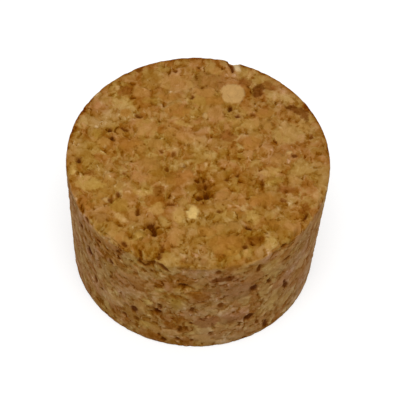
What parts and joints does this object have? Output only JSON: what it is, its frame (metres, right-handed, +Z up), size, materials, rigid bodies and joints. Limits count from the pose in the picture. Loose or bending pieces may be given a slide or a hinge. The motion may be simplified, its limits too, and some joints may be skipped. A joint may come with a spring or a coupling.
{
  "type": "cork stopper",
  "caption": "Short tapered stopper ground from one piece of agglomerated cork, wide end up, for plugging the mouth of a jar or flask.",
  "frame": {"origin": "centre of the narrow end, on the surface that the stopper stands on", "axes": "+Z up along the stopper's axis, from the narrow end to the wide end; the chip in the wide end's rim is near +Y"},
  "size_m": [0.045, 0.045, 0.026],
  "materials": {
    "cork": "matt agglomerated cork: golden-brown granules of mixed tones, bare, unsealed"
  },
  "bodies": {
    "root": {"stopper": "cork"}
  },
  "joints": []
}
